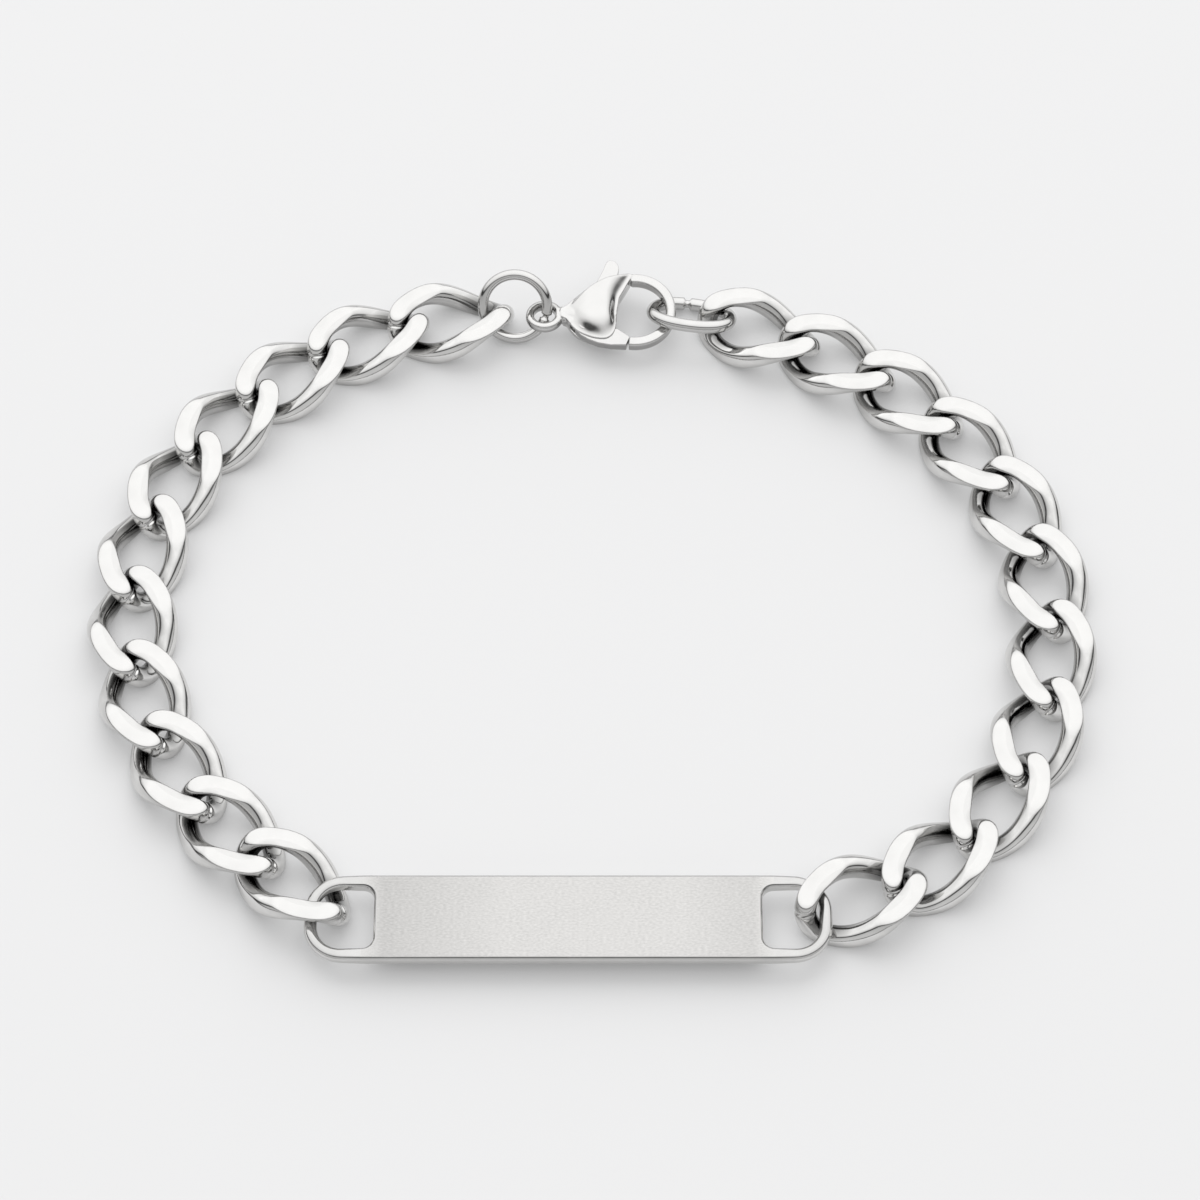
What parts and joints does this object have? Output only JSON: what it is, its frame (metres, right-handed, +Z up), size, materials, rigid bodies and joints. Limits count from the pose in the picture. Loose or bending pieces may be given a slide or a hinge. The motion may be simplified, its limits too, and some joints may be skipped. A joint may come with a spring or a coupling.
{
  "type": "identification bracelet",
  "caption": "Curb chain bracelet with a bare rectangular plate, closed by a lobster clasp through an oval end ring, lying flat as a closed loop.",
  "frame": {"origin": "on the surface it lies on, under the middle of the loop's outline", "axes": "+Z up, +X to the right along the plate, +Y from the plate across the loop to the clasp"},
  "size_m": [0.0794, 0.065, 0.0048],
  "materials": {
    "chain_steel": "polished",
    "plate_steel": "satin",
    "fitting_steel": "polished"
  },
  "bodies": {
    "bracelet": {"id_plate": "plate_steel", "link_l01": "chain_steel", "link_l02": "chain_steel", "link_l03": "chain_steel", "link_l04": "chain_steel", "link_l05": "chain_steel", "link_l06": "chain_steel", "link_l07": "chain_steel", "link_l08": "chain_steel", "link_l09": "chain_steel", "link_l10": "chain_steel", "link_l11": "chain_steel", "link_r01": "chain_steel", "link_r02": "chain_steel", "link_r03": "chain_steel", "link_r04": "chain_steel", "link_r05": "chain_steel", "link_r06": "chain_steel", "link_r07": "chain_steel", "link_r08": "chain_steel", "link_r09": "chain_steel", "link_r10": "chain_steel", "link_r11": "chain_steel", "jump_ring": "fitting_steel", "end_ring": "fitting_steel", "clasp_body": "fitting_steel", "lever_pin": "fitting_steel"},
    "lever": {"clasp_lever": "fitting_steel"}
  },
  "joints": [
    {"name": "lever_hinge", "type": "hinge", "parent": "bracelet", "child": "lever", "pos_m": [-0.00061, 0.0259, 0.00177], "axis": [0.0058, -0.0957, 0.9954], "range_deg": [0, 18], "stiffness_Nm_per_rad": 0.004, "springref_deg": -14.32}
  ]
}
